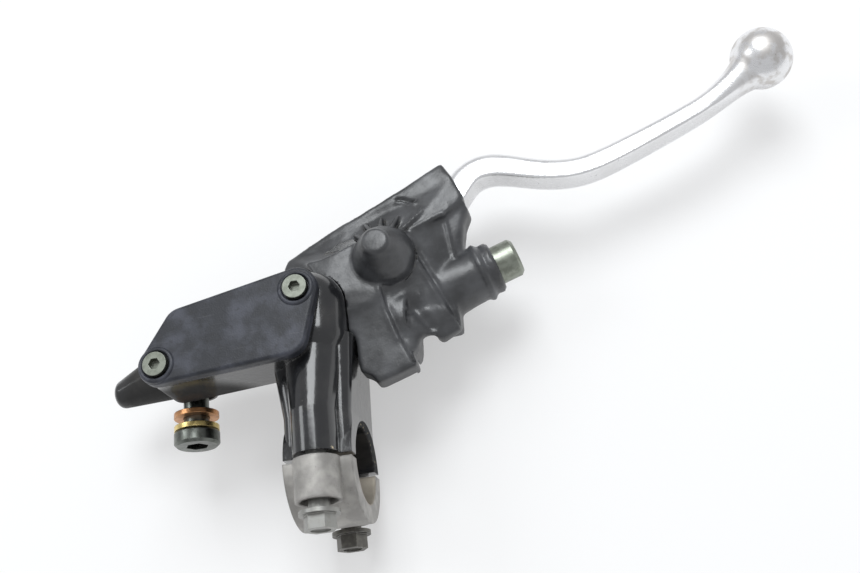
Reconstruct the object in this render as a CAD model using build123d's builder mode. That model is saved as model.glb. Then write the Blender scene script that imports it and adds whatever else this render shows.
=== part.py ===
"""Front brake master cylinder of an off-road motorcycle, as an assembly of separate pieces.

Frame: the origin is the centre of the handlebar bore. +X runs along the handlebar towards the
ball at the end of the lever, +Y runs forwards from the bar to the lever, +Z is up through the
reservoir cap. All sizes are in millimetres.
"""

import os
from math import cos, radians, sin, sqrt

from build123d import *

os.makedirs("parts", exist_ok=True)

# ---------------------------------------------------------------- driving dimensions
# Handlebar clamp
BAR_R = 11.1  # bore for a 22.2 mm handlebar
CLAMP_WIDTH = 19.6
CLAMP_GAP = 0.6  # half of the gap between the two clamp halves
CLAMP_OUTER_R = 16.4
CLAMP_STEP = 0.8  # the casting's half is this much smaller
CLAMP_BOLT_Z = 16.75
BOSS_R = 6.5
CLAMP_BOSS_END = -12.3  # face under the bolt heads
BOLT_R = 3.0  # M6 clamp bolts
BOLT_CLEARANCE = 0.05
BOLT_HEAD_END = -20.0
BOLT_HEAD_HEIGHT = 5.3
BOLT_TIP = 14.5
HEX_AF = 8.0

# Hydraulic cylinder, along X
CYL_Y = 41.5
CYL_Z = -3.0
CYL_OUTER_R = 10.5
PISTON_R = 5.5
BORE_CLEARANCE = 0.04
BORE_END = -38.5
MOUTH_X = 16.5
MOUTH_R = 7.4
CYL_END = -41.0
TAIL_TIP_X, TAIL_TIP_Y = -66.8, 33.9
CLIP_X = 12.9
CLIP_THICKNESS = 1.0

# Reservoir, outlined by the hull of circles (x, y, radius) at the corners of its cap
CAP_CORNERS = [(-0.4, 47.0, 6.2), (-34.4, 41.6, 5.6), (-41.7, 30.8, 5.7), (-3.9, 33.0, 5.8)]
CAP_TOP = 26.0
CAP_BASE = 22.6
CAP_ROUNDING = 1.1
SEAL_THICKNESS = 1.2
RIM_Z = CAP_BASE - SEAL_THICKNESS
FLOOR_Z = 9.0
PORTS_X = (-12.5, -22.0)
PORT_R = 1.2
RESERVOIR_WALL = 3.0
SCREW_SPOTS = [(-0.2, 46.7), (-41.8, 30.7)]
SCREW_R = 2.0
SCREW_HEAD_R = 3.5
PILLAR_WALL = 2.4  # round each screw
SHOULDER_CORNERS = [(0.0, 45.5, 10.6), (1.6, 37.0, 8.6)]
SHOULDER_TOP = 21.0
SHOULDER_ROUNDING = 7.6
SHOULDER_BASE = CYL_Z - 7.0

# Hose connection, pointing towards the bar
HOSE_X = -41.6
HOSE_FACE_Y = 30.0
HOSE_THREAD_R = 4.9
HOSE_THREAD_END = 36.4
FLUID_PORT_R = 2.0
BANJO_HEAD_R = 6.8
NECK_R = 3.8
SOCKET_DEPTH = 3.4
BANJO_HEAD_END = 14.2
BANJO_HEAD_HEIGHT = 3.9
SEAL_RING_R = 6.7
SEAL_RING_THICKNESS = 1.5

# Lever pivot, along Z
PIVOT_X, PIVOT_Y = 22.9, 58.5
HUB_BASE, HUB_TOP = -9.4, 3.4
EAR_GAP = 0.2
EAR_THICKNESS = 5.4
PIVOT_R = 4.0
BUSH_R = 5.4
HUB_R = 9.0
EAR_R = 9.5

# Push rod and its adjuster: a straight line through the lever's lower lug
ROD_ANGLE = 17.3
BALL_R = 2.5
SOCKET_CLEARANCE = 0.08
ROD_INNER_X = 9.9  # centre of the ball in the piston
ROD_LENGTH = 18.0
ADJUSTER_R = 4.0  # M8 thread
ADJUSTER_CLEARANCE = 0.05
LUG_R = 6.2
LUG_LENGTH = 12.0
KNOB_R = 5.9
KNOB_START, KNOB_END = 24.0, 35.6

# Lever blade
BLADE_HALF_HEIGHT = 5.0
LUG_WEB_HALF_HEIGHT = 4.3
BALL_CENTRE = (144.7, 109.0)
LEVER_BALL_R = 9.5

# Rubber cover
COVER_WALL = 1.8
COVER_TOP = 13.0
COVER_BASE = -17.8
BUMP_BASE, BUMP_TOP = 11.0, 23.0
BUMP_BASE_R, BUMP_TOP_R = 9.0, 4.0
NOSE_BASE_R, NOSE_TIP_R, NOSE_TIP = 9.6, 7.9, 26.0
LIP_R, LIP_END = 6.9, 28.6
BOLT_ACCESS_R = 7.4  # hole under the pivot bolt

# ---------------------------------------------------------------- working planes
CYLINDER_PLANE = Plane(origin=(0, CYL_Y, CYL_Z), x_dir=(0, 1, 0), z_dir=(1, 0, 0))
CYLINDER_SECTION = Plane(origin=(0, CYL_Y, CYL_Z), x_dir=(1, 0, 0), z_dir=(0, 0, 1))
CYLINDER_AXIS = Axis((0, CYL_Y, CYL_Z), (1, 0, 0))
ROD_DIRECTION = Vector(cos(radians(ROD_ANGLE)), sin(radians(ROD_ANGLE)), 0)
ROD_INNER = Vector(ROD_INNER_X, CYL_Y, CYL_Z)
ROD_OUTER = ROD_INNER + ROD_DIRECTION * ROD_LENGTH
ROD_PLANE = Plane(origin=ROD_OUTER, x_dir=(0, 0, 1), z_dir=ROD_DIRECTION)
ROD_SECTION = Plane(origin=ROD_OUTER, x_dir=ROD_DIRECTION, z_dir=(0, 0, 1))
ROD_AXIS = Axis(ROD_OUTER, ROD_DIRECTION)
PIVOT_PLANE = Plane(origin=(PIVOT_X, PIVOT_Y, 0))
PIVOT_SECTION = Plane(origin=(PIVOT_X, PIVOT_Y, 0), x_dir=(0, 0, 1), z_dir=(0, -1, 0))
PIVOT_AXIS = Axis((PIVOT_X, PIVOT_Y, 0), (0, 0, 1))
HOSE_PLANE = Plane(origin=(HOSE_X, 0, CYL_Z), x_dir=(1, 0, 0), z_dir=(0, 1, 0))
HOSE_SECTION = Plane(origin=(HOSE_X, 0, CYL_Z), x_dir=(0, 1, 0), z_dir=(0, 0, 1))
HOSE_AXIS = Axis((HOSE_X, 0, CYL_Z), (0, 1, 0))
UPWARDS = (Align.CENTER, Align.CENTER, Align.MIN)


# ---------------------------------------------------------------- shared shapes
def hull_outline(corners, grow=0.0):
    """Flat outline wrapped around circles (x, y, radius), each grown by the same amount."""
    with BuildSketch() as outline:
        with BuildLine():
            for x, y, radius in corners:
                CenterArc((x, y), radius + grow, 0, 360)
        make_hull()
    return outline.sketch


def turned_profile(stations):
    """Half section of a turned piece, from (distance along the axis, radius) stations."""
    first, last = stations[0], stations[-1]
    with BuildSketch() as profile:
        with BuildLine():
            Polyline((first[0], 0), *stations, (last[0], 0), close=True)
        make_face()
    return profile.sketch


def tube_profile(stations, inner_radius):
    """Half section of a turned piece with a straight hole along its axis."""
    first, last = stations[0], stations[-1]
    with BuildSketch() as profile:
        with BuildLine():
            Polyline((first[0], inner_radius), *stations, (last[0], inner_radius), close=True)
        make_face()
    return profile.sketch


def bar(plane, radius, start, end, mode=Mode.ADD):
    """Round bar along a plane's normal, from start to end."""
    with Locations(plane.offset(start)):
        Cylinder(radius, end - start, align=UPWARDS, mode=mode)


def hexagon_bar(plane, across_flats, start, end, mode=Mode.ADD):
    """Hexagonal prism along a plane's normal, from start to end."""
    with BuildSketch() as hexagon:
        RegularPolygon(across_flats / 2, 6, major_radius=False)
    extrude(plane.offset(start) * hexagon.sketch, end - start, mode=mode)


def finish(builder, name):
    """Label a finished piece and write its STEP file."""
    builder.part.label = name
    export_step(builder.part, f"parts/{name}.step")


# ---------------------------------------------------------------- casting
ARM_BASE_HEIGHT = 30.0
ARM_BASE_CORNER_R = 2.8
ARM_CORNER_R = 4.0
ARM_FLARE_Y = 13.0  # the arm is as wide as the clamp up to here
ARM_TOP_Y = 36.0
ARM_TOP_SIZE = (25.0, 26.0)
ARM_TOP_CENTRE = (-0.8, 2.0)
LOWER_COLUMN_END = 22.0
RESERVOIR_BASE = 5.0
EAR_OUTLINE = [(PIVOT_X, PIVOT_Y, EAR_R), (3.5, 55.0, 7.0), (11.5, 60.0, 6.5)]
EAR_ROOT = [(3.5, 55.0, 7.0), (5.5, 50.0, 6.0)]
EAR_BASES = [HUB_TOP + EAR_GAP, HUB_BASE - EAR_GAP - EAR_THICKNESS]
TAIL_NOSE_R = 4.0
TAIL_ROUNDING = 2.4
COLUMN_TOP_Y, COLUMN_TOP_Z = 34.0, 10.6  # the upper bolt column widens into the reservoir
COLUMN_TOP_R = 9.2

with BuildPart() as shoulder:
    with BuildSketch(Plane.XY.offset(SHOULDER_BASE)):
        add(hull_outline(SHOULDER_CORNERS))
    extrude(amount=SHOULDER_TOP - SHOULDER_BASE)
    fillet(shoulder.faces().sort_by(Axis.Z)[-1].edges(), SHOULDER_ROUNDING)

with BuildPart() as master_body:
    # Half clamp round the bar, with a bolt boss on each side
    with BuildSketch(Plane.YZ.offset(-CLAMP_WIDTH / 2)):
        Circle(CLAMP_OUTER_R - CLAMP_STEP)
    extrude(amount=CLAMP_WIDTH)
    for side, column_end in ((1, ARM_FLARE_Y), (-1, LOWER_COLUMN_END)):
        with Locations((0, 0, side * CLAMP_BOLT_Z)):
            Cylinder(BOSS_R, 2 * column_end, rotation=(90, 0, 0))
    with BuildSketch(Plane.XZ.offset(-ARM_FLARE_Y)):
        with Locations((0, CLAMP_BOLT_Z)):
            Circle(BOSS_R)
    with BuildSketch(Plane.XZ.offset(-COLUMN_TOP_Y)):
        with Locations((0, COLUMN_TOP_Z)):
            Circle(COLUMN_TOP_R)
    loft()
    split(bisect_by=Plane.XZ.offset(-CLAMP_GAP), keep=Keep.BOTTOM)
    # Arm between the clamp and the cylinder
    with BuildSketch(Plane.XZ.offset(-CLAMP_GAP)):
        RectangleRounded(CLAMP_WIDTH, ARM_BASE_HEIGHT, ARM_BASE_CORNER_R)
    extrude(amount=CLAMP_GAP - ARM_FLARE_Y)
    with BuildSketch(Plane.XZ.offset(-ARM_FLARE_Y)):
        RectangleRounded(CLAMP_WIDTH, ARM_BASE_HEIGHT, ARM_BASE_CORNER_R)
    with BuildSketch(Plane.XZ.offset(-ARM_TOP_Y)):
        with Locations(ARM_TOP_CENTRE):
            RectangleRounded(*ARM_TOP_SIZE, ARM_CORNER_R)
    loft()
    # Cylinder and the slanted tail beyond its closed end
    bar(CYLINDER_PLANE, CYL_OUTER_R, CYL_END, MOUTH_X)
    with BuildSketch(CYLINDER_PLANE.offset(CYL_END)):
        Circle(CYL_OUTER_R)
    with BuildSketch(CYLINDER_PLANE.offset(TAIL_TIP_X)):
        with Locations((TAIL_TIP_Y - CYL_Y, 0)):
            Circle(TAIL_NOSE_R)
    loft()
    fillet(master_body.edges().sort_by(Axis.X)[0], TAIL_ROUNDING)
    # Reservoir and the rounded shoulder beside it
    with BuildSketch(Plane.XY.offset(RESERVOIR_BASE)):
        add(hull_outline(CAP_CORNERS, -0.5))
    extrude(amount=RIM_Z - RESERVOIR_BASE)
    add(shoulder.part)
    # Fork for the lever
    for ear_base in EAR_BASES:
        with BuildSketch(Plane.XY.offset(ear_base)):
            add(hull_outline(EAR_OUTLINE))
        extrude(amount=EAR_THICKNESS)
    with BuildSketch(Plane.XY.offset(EAR_BASES[1])):
        add(hull_outline(EAR_ROOT))
    extrude(amount=EAR_BASES[0] - EAR_BASES[1] + EAR_THICKNESS)
    # Boss for the hose
    bar(HOSE_PLANE, BOSS_R, HOSE_FACE_Y, CYL_Y)
    # Bores
    bar(Plane.YZ, BAR_R, -CLAMP_WIDTH, CLAMP_WIDTH, Mode.SUBTRACT)
    for side in (1, -1):
        with Locations((0, 0, side * CLAMP_BOLT_Z)):
            Cylinder(BOLT_R + BOLT_CLEARANCE, 2 * (BOLT_TIP + 2), rotation=(90, 0, 0), mode=Mode.SUBTRACT)
    bar(CYLINDER_PLANE, PISTON_R + BORE_CLEARANCE, BORE_END, MOUTH_X, Mode.SUBTRACT)
    bar(CYLINDER_PLANE, MOUTH_R + 0.8, CLIP_X, CLIP_X + CLIP_THICKNESS, Mode.SUBTRACT)
    bar(CYLINDER_PLANE, MOUTH_R, CLIP_X - 1.2, MOUTH_X, Mode.SUBTRACT)
    bar(HOSE_PLANE, HOSE_THREAD_R + 0.03, HOSE_FACE_Y, HOSE_THREAD_END + 0.5, Mode.SUBTRACT)
    bar(HOSE_PLANE, FLUID_PORT_R, HOSE_THREAD_END, CYL_Y, Mode.SUBTRACT)
    with Locations((BORE_END, CYL_Y, CYL_Z)):
        Cylinder(FLUID_PORT_R, 2 * (BORE_END - HOSE_X), rotation=(0, 90, 0), mode=Mode.SUBTRACT)
    bar(PIVOT_PLANE, PIVOT_R + BOLT_CLEARANCE, COVER_BASE, HUB_BASE, Mode.SUBTRACT)
    bar(PIVOT_PLANE, BOLT_R + BOLT_CLEARANCE, HUB_TOP, COVER_TOP, Mode.SUBTRACT)
    # Fluid chamber, leaving a pillar round each screw, and the two ports into the bore
    with BuildSketch(Plane.XY.offset(FLOOR_Z)):
        add(hull_outline(CAP_CORNERS, -RESERVOIR_WALL))
        with Locations(*SCREW_SPOTS):
            Circle(SCREW_R + PILLAR_WALL, mode=Mode.SUBTRACT)
    extrude(amount=RIM_Z - FLOOR_Z, mode=Mode.SUBTRACT)
    with Locations(*[(x, y, RIM_Z) for x, y in SCREW_SPOTS]):
        Cylinder(SCREW_R + 0.03, 20, mode=Mode.SUBTRACT)
    with Locations(*[(x, CYL_Y, FLOOR_Z) for x in PORTS_X]):
        Cylinder(PORT_R, 2 * (FLOOR_Z - CYL_Z), mode=Mode.SUBTRACT)
    # Room for the lever's hub and lug between the ears
    with BuildSketch(Plane.XY.offset(HUB_BASE - EAR_GAP)):
        add(hull_outline([(PIVOT_X, PIVOT_Y, HUB_R + 0.6), (60.0, PIVOT_Y, HUB_R + 0.6)]))
    extrude(amount=HUB_TOP - HUB_BASE + 2 * EAR_GAP, mode=Mode.SUBTRACT)
finish(master_body, "master_body")

# ---------------------------------------------------------------- clamp cap and bolts
CLAMP_HOLE_R = 4.0
FLANGE_R = 5.7
COUNTERBORE_R = 5.2
COUNTERBORE_DEPTH = 2.5

with BuildPart() as clamp_cap:
    with BuildSketch(Plane.YZ.offset(-CLAMP_WIDTH / 2)):
        Circle(CLAMP_OUTER_R)
    extrude(amount=CLAMP_WIDTH)
    for side in (1, -1):
        with Locations((0, 0, side * CLAMP_BOLT_Z)):
            Cylinder(BOSS_R, -2 * CLAMP_BOSS_END, rotation=(90, 0, 0))
        with Locations((0, CLAMP_BOSS_END / 2, side * CLAMP_BOLT_Z)):
            Cylinder(CLAMP_HOLE_R, 40, rotation=(90, 0, 0), mode=Mode.SUBTRACT)
        with Locations((0, CLAMP_BOSS_END, side * CLAMP_BOLT_Z)):
            Cylinder(COUNTERBORE_R, 2 * COUNTERBORE_DEPTH, rotation=(90, 0, 0), mode=Mode.SUBTRACT)
    bar(Plane.YZ, BAR_R, -CLAMP_WIDTH, CLAMP_WIDTH, Mode.SUBTRACT)
    split(bisect_by=Plane.XZ.offset(CLAMP_GAP), keep=Keep.TOP)
finish(clamp_cap, "clamp_cap")

with BuildPart() as clamp_bolts:
    for side in (1, -1):
        bolt_plane = Plane(origin=(0, 0, side * CLAMP_BOLT_Z), x_dir=(1, 0, 0), z_dir=(0, 1, 0))
        head_top = BOLT_HEAD_END + BOLT_HEAD_HEIGHT
        hexagon_bar(bolt_plane, HEX_AF, BOLT_HEAD_END, head_top - 0.6)
        bar(bolt_plane, FLANGE_R, head_top - 1.2, head_top)
        bar(bolt_plane, BOLT_R, head_top, BOLT_TIP)
        bar(bolt_plane, HEX_AF / 2 - 1.2, BOLT_HEAD_END, BOLT_HEAD_END + 0.6, Mode.SUBTRACT)
finish(clamp_bolts, "clamp_bolts")

# ---------------------------------------------------------------- reservoir cap and seal
with BuildPart() as reservoir_cap:
    with BuildSketch(Plane.XY.offset(CAP_BASE)):
        add(hull_outline(CAP_CORNERS))
    extrude(amount=CAP_TOP - CAP_BASE)
    fillet(reservoir_cap.faces().sort_by(Axis.Z)[-1].edges(), CAP_ROUNDING)
    with BuildSketch(Plane.XY.offset(CAP_BASE)):
        add(hull_outline(CAP_CORNERS, -RESERVOIR_WALL))
        with Locations(*SCREW_SPOTS):
            Circle(SCREW_R + PILLAR_WALL, mode=Mode.SUBTRACT)
    extrude(amount=1.4, mode=Mode.SUBTRACT)
    with Locations(*[(x, y, CAP_TOP) for x, y in SCREW_SPOTS]):
        CounterBoreHole(SCREW_R + 0.2, SCREW_HEAD_R + 0.5, 1.2, depth=CAP_TOP - CAP_BASE)
finish(reservoir_cap, "reservoir_cap")

with BuildPart() as cap_screws:
    for x, y in SCREW_SPOTS:
        screw_plane = Plane(origin=(x, y, 0))
        bar(screw_plane, SCREW_R, RIM_Z - 8.0, CAP_TOP)
        bar(screw_plane, SCREW_HEAD_R, CAP_TOP - 1.2, CAP_TOP + 1.4)
        hexagon_bar(screw_plane, 3.0, CAP_TOP - 0.6, CAP_TOP + 1.4, Mode.SUBTRACT)
finish(cap_screws, "cap_screws")

with BuildPart() as diaphragm:
    with BuildSketch(Plane.XY.offset(RIM_Z)):
        add(hull_outline(CAP_CORNERS, -0.7))
    extrude(amount=SEAL_THICKNESS)
    with BuildSketch(Plane.XY.offset(RIM_Z - 5)):
        add(hull_outline(CAP_CORNERS, -RESERVOIR_WALL - 0.5))
        with Locations(*SCREW_SPOTS):
            Circle(SCREW_R + 3.0, mode=Mode.SUBTRACT)
    extrude(amount=5)
    with BuildSketch(Plane.XY.offset(RIM_Z - 4)):
        add(hull_outline(CAP_CORNERS, -RESERVOIR_WALL - 1.8))
        with Locations(*SCREW_SPOTS):
            Circle(SCREW_R + 4.2, mode=Mode.SUBTRACT)
    extrude(amount=5 + SEAL_THICKNESS, mode=Mode.SUBTRACT)
    with Locations(*[(x, y, CAP_BASE) for x, y in SCREW_SPOTS]):
        Hole(SCREW_R + 0.2)
finish(diaphragm, "diaphragm")

with BuildPart() as diaphragm_plate:
    with BuildSketch(Plane.XY.offset(CAP_BASE)):
        add(hull_outline(CAP_CORNERS, -RESERVOIR_WALL - 0.3))
        with Locations(*SCREW_SPOTS):
            Circle(SCREW_R + 2.8, mode=Mode.SUBTRACT)
    extrude(amount=0.8)
    with Locations((-20.0, 38.0, CAP_BASE)):
        Cylinder(2.0, 4, mode=Mode.SUBTRACT)
finish(diaphragm_plate, "diaphragm_plate")

with BuildPart() as port_shield:
    with Locations((-17.2, CYL_Y, FLOOR_Z)):
        Box(16, 6, 2.4, align=UPWARDS)
        Box(14, 8, 1.4, align=UPWARDS, mode=Mode.SUBTRACT)
finish(port_shield, "port_shield")

# ---------------------------------------------------------------- piston group
PISTON_STATIONS = [
    (-22.5, 2.0), (-21.1, 2.0), (-21.1, 5.4), (-19.1, 5.4), (-19.1, 3.8), (-5.1, 3.8),
    (-5.1, 5.4), (-3.5, 5.4), (-3.5, 3.4), (-0.3, 3.4), (-0.3, 5.4), (11.5, 5.4),
]

with BuildPart() as piston:
    with BuildSketch(CYLINDER_SECTION):
        add(turned_profile(PISTON_STATIONS))
    revolve(axis=CYLINDER_AXIS)
    with Locations(ROD_INNER):
        Sphere(BALL_R + SOCKET_CLEARANCE, mode=Mode.SUBTRACT)
    with BuildSketch(CYLINDER_SECTION):
        add(turned_profile([(ROD_INNER_X, BALL_R), (11.6, 3.6)]))
    revolve(axis=CYLINDER_AXIS, mode=Mode.SUBTRACT)
finish(piston, "piston")

with BuildPart() as primary_cup:
    with BuildSketch(CYLINDER_SECTION):
        add(tube_profile([(-24.7, 3.4), (-24.7, 5.5), (-21.2, 5.3)], 2.05))
    revolve(axis=CYLINDER_AXIS)
finish(primary_cup, "primary_cup")

with BuildPart() as secondary_cup:
    with BuildSketch(CYLINDER_SECTION):
        add(tube_profile([(-3.4, 5.5), (-0.4, 5.3)], 3.45))
    revolve(axis=CYLINDER_AXIS)
finish(secondary_cup, "secondary_cup")

SPRING_WIRE_R = 0.55
SPRING_R = 4.2
SPRING_START = BORE_END + SPRING_WIRE_R
SPRING_LENGTH = 12.5
SPRING_TURNS = 6

with BuildPart() as piston_spring:
    with BuildLine() as coil:
        Helix(
            pitch=SPRING_LENGTH / SPRING_TURNS, height=SPRING_LENGTH, radius=SPRING_R,
            center=(SPRING_START, CYL_Y, CYL_Z), direction=(1, 0, 0),
        )
    with BuildSketch(Plane(origin=coil.line @ 0, z_dir=coil.line % 0)):
        Circle(SPRING_WIRE_R)
    sweep(is_frenet=True)
finish(piston_spring, "piston_spring")

with BuildPart() as stop_washer:
    with BuildSketch(CYLINDER_PLANE.offset(CLIP_X - 1.1)):
        Circle(MOUTH_R - 0.1)
        Circle(4.4, mode=Mode.SUBTRACT)
    extrude(amount=1.0)
finish(stop_washer, "stop_washer")

with BuildPart() as circlip:
    with BuildSketch(CYLINDER_PLANE.offset(CLIP_X + 0.05)):
        Circle(MOUTH_R + 0.7)
        Circle(5.7, mode=Mode.SUBTRACT)
        with Locations((0, -MOUTH_R)):
            Rectangle(3, 5, mode=Mode.SUBTRACT)
    extrude(amount=CLIP_THICKNESS - 0.1)
finish(circlip, "circlip")

with BuildPart() as rod_boot:
    with BuildSketch(CYLINDER_SECTION):
        add(tube_profile([(14.1, MOUTH_R - 0.1), (MOUTH_X, MOUTH_R - 0.1), (17.7, 6.6)], 5.6))
    revolve(axis=CYLINDER_AXIS)
finish(rod_boot, "rod_boot")

ROD_R = 1.9
NECK = sqrt(BALL_R**2 - ROD_R**2)

with BuildPart() as push_rod:
    with BuildSketch(ROD_SECTION):
        with BuildLine():
            Line((BALL_R, 0), (-ROD_LENGTH - BALL_R, 0))
            ThreePointArc((-ROD_LENGTH - BALL_R, 0), (-ROD_LENGTH, BALL_R), (-ROD_LENGTH + NECK, ROD_R))
            Line((-ROD_LENGTH + NECK, ROD_R), (-NECK, ROD_R))
            ThreePointArc((-NECK, ROD_R), (0, BALL_R), (BALL_R, 0))
        make_face()
    revolve(axis=ROD_AXIS)
finish(push_rod, "push_rod")

# ---------------------------------------------------------------- hose connection
with BuildPart() as banjo_bolt:
    head_top = BANJO_HEAD_END + BANJO_HEAD_HEIGHT
    with BuildSketch(HOSE_SECTION):
        add(turned_profile([
            (BANJO_HEAD_END, BANJO_HEAD_R - 0.8), (BANJO_HEAD_END + 0.8, BANJO_HEAD_R),
            (head_top, BANJO_HEAD_R), (head_top, NECK_R), (HOSE_FACE_Y + 1.0, NECK_R),
            (HOSE_FACE_Y + 1.0, HOSE_THREAD_R), (HOSE_THREAD_END, HOSE_THREAD_R),
        ]))
    revolve(axis=HOSE_AXIS)
    hexagon_bar(HOSE_PLANE, 6.0, BANJO_HEAD_END, BANJO_HEAD_END + SOCKET_DEPTH, Mode.SUBTRACT)
    bar(HOSE_PLANE, PORT_R, head_top, CYL_Y, Mode.SUBTRACT)
finish(banjo_bolt, "banjo_bolt")

for ring_name, ring_start in (("brass_washer", 18.8), ("copper_washer", 22.9)):
    with BuildPart() as seal_ring:
        bar(HOSE_PLANE, SEAL_RING_R, ring_start, ring_start + SEAL_RING_THICKNESS)
        bar(HOSE_PLANE, NECK_R + 0.2, ring_start - 1, ring_start + 3, Mode.SUBTRACT)
    finish(seal_ring, ring_name)

# ---------------------------------------------------------------- lever
# Stations along the middle of the lever, each (x, y) with half the width there
BLADE_STATIONS = [
    ((22.9, 58.5), 8.0), ((33.5, 67.0), 5.4), ((41.7, 77.0), 4.6), ((46.7, 83.7), 4.6),
    ((51.3, 87.6), 4.7), ((56.7, 88.4), 4.3), ((65.3, 85.7), 3.9), ((76.4, 82.0), 3.7),
    ((86.6, 81.8), 3.6), ((99.7, 86.0), 3.4), ((112.7, 90.8), 3.2), ((124.7, 95.8), 3.1),
    ((134.5, 101.4), 3.4),
    (BALL_CENTRE, 4.0),
]


def blade_edge(side):
    """Points of the blade's outline on one side of its middle line."""
    middles = [Vector(*spot) for spot, _ in BLADE_STATIONS]
    points = []
    for index, (spot, half_width) in enumerate(BLADE_STATIONS):
        before = middles[max(index - 1, 0)]
        after = middles[min(index + 1, len(middles) - 1)]
        along = (after - before).normalized()
        across = Vector(-along.Y, along.X)
        points.append(Vector(*spot) + across * half_width * side)
    return points


with BuildPart() as lever:
    with BuildSketch(Plane.XY.offset(CYL_Z - BLADE_HALF_HEIGHT)):
        with BuildLine():
            left = Spline(*blade_edge(1))
            right = Spline(*blade_edge(-1))
            Line(left @ 0, right @ 0)
            Line(left @ 1, right @ 1)
        make_face()
    extrude(amount=2 * BLADE_HALF_HEIGHT)
    with Locations((*BALL_CENTRE, CYL_Z)):
        Sphere(LEVER_BALL_R)
    # Hub, and the lug that carries the adjuster
    bar(PIVOT_PLANE, HUB_R, HUB_BASE, HUB_TOP)
    bar(ROD_PLANE, LUG_R, 0.5, LUG_LENGTH)
    with BuildSketch(Plane.XY.offset(CYL_Z - LUG_WEB_HALF_HEIGHT)):
        with BuildLine():
            Polyline((19.0, 55.0), (29.0, 47.0), (36.2, 50.0), (34.2, 57.5), (41.5, 75.0),
                     (29.0, 66.0), close=True)
        make_face()
    extrude(amount=2 * LUG_WEB_HALF_HEIGHT)
    bar(ROD_PLANE, ADJUSTER_R + ADJUSTER_CLEARANCE, -6, LUG_LENGTH + 20, Mode.SUBTRACT)
    bar(PIVOT_PLANE, BUSH_R, HUB_BASE - 1, HUB_TOP + 1, Mode.SUBTRACT)
finish(lever, "lever")

with BuildPart() as pivot_bush:
    bar(PIVOT_PLANE, BUSH_R, HUB_BASE, HUB_TOP)
    bar(PIVOT_PLANE, PIVOT_R + BOLT_CLEARANCE, HUB_BASE, HUB_TOP, Mode.SUBTRACT)
finish(pivot_bush, "pivot_bush")

PIVOT_HEAD_TOP = EAR_BASES[1]
EAR_TOP = EAR_BASES[0] + EAR_THICKNESS
WASHER_R = 6.2
WASHER_THICKNESS = 0.8
NUT_HEIGHT = 5.0

with BuildPart() as pivot_bolt:
    hexagon_bar(PIVOT_PLANE, 12.0, PIVOT_HEAD_TOP - 5.0, PIVOT_HEAD_TOP)
    bar(PIVOT_PLANE, PIVOT_R, PIVOT_HEAD_TOP, HUB_TOP + 0.1)
    bar(PIVOT_PLANE, BOLT_R, HUB_TOP, EAR_TOP + NUT_HEIGHT + 2.4)
finish(pivot_bolt, "pivot_bolt")

with BuildPart() as pivot_washer:
    bar(PIVOT_PLANE, WASHER_R, EAR_TOP, EAR_TOP + WASHER_THICKNESS)
    bar(PIVOT_PLANE, BOLT_R + 0.1, EAR_TOP, EAR_TOP + WASHER_THICKNESS, Mode.SUBTRACT)
finish(pivot_washer, "pivot_washer")

with BuildPart() as pivot_nut:
    nut_base = EAR_TOP + WASHER_THICKNESS
    hexagon_bar(PIVOT_PLANE, 10.0, nut_base, nut_base + NUT_HEIGHT)
    bar(PIVOT_PLANE, BOLT_R + 0.02, nut_base, nut_base + NUT_HEIGHT, Mode.SUBTRACT)
finish(pivot_nut, "pivot_nut")

# ---------------------------------------------------------------- reach adjuster
with BuildPart() as adjuster_bolt:
    with BuildSketch(ROD_SECTION):
        add(turned_profile([
            (-0.8, ADJUSTER_R - 0.4), (-0.4, ADJUSTER_R), (KNOB_START, ADJUSTER_R),
            (KNOB_START, KNOB_R), (KNOB_END - 1.0, KNOB_R), (KNOB_END, KNOB_R - 1.0),
        ]))
    revolve(axis=ROD_AXIS)
    with Locations(ROD_OUTER):
        Sphere(BALL_R + 0.7, mode=Mode.SUBTRACT)
    bar(ROD_PLANE, 2.6, -3, 0, Mode.SUBTRACT)
finish(adjuster_bolt, "adjuster_bolt")

with BuildPart() as adjuster_locknut:
    hexagon_bar(ROD_PLANE, 11.0, LUG_LENGTH + 0.1, LUG_LENGTH + 4.6)
    bar(ROD_PLANE, ADJUSTER_R + ADJUSTER_CLEARANCE, LUG_LENGTH, LUG_LENGTH + 5, Mode.SUBTRACT)
finish(adjuster_locknut, "adjuster_locknut")

# ---------------------------------------------------------------- rubber cover
# Blocks of the cover: an outline, with the height where it starts and ends
BAND = [
    (-8.8, 61.5), (-7.0, 64.2), (5.5, 70.6), (17.0, 75.4), (29.0, 80.6), (36.0, 84.0), (43.1, 88.2),
    (48.2, 75.4), (46.4, 64.0), (40.0, 58.0), (30.0, 48.0), (13.5, 48.0),
]
FRONT = [
    (-0.5, 60.5), (11.5, 66.5), (21.5, 70.5), (31.0, 71.0), (38.5, 72.0), (39.5, 61.0),
    (35.5, 53.0), (28.5, 46.0), (13.5, 46.0),
]
SKIRT = [
    (12.5, 49.0), (29.5, 49.0), (30.0, 35.0), (27.9, 28.6), (28.8, 24.4), (17.6, 21.0),
    (14.2, 25.0), (12.1, 34.0),
]
FUNNEL = [
    (31.0, 53.0), (47.0, 59.0), (52.3, 46.6), (42.0, 40.2), (36.0, 36.6), (33.0, 38.6),
    (28.5, 42.0),
]
COVER_BLOCKS = {
    "band": (BAND, -10.0, 8.0),
    "front": (FRONT, COVER_BASE, COVER_TOP),
    "skirt": (SKIRT, 2.0, 10.0),
    "funnel": (FUNNEL, -8.0, 4.0),
}
# Each hollow runs through the blocks that it names
COVER_HOLLOWS = [
    ["front"], ["band", "front"], ["front", "skirt"], ["band", "front", "skirt"],
    ["band", "front", "funnel"], ["band", "front", "skirt", "funnel"],
]
LEVER_DOOR = [
    (29.5, 58.0), (49.5, 76.0), (60.0, 85.0), (49.5, 94.0), (40.9, 85.2), (27.5, 69.0),
]


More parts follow.
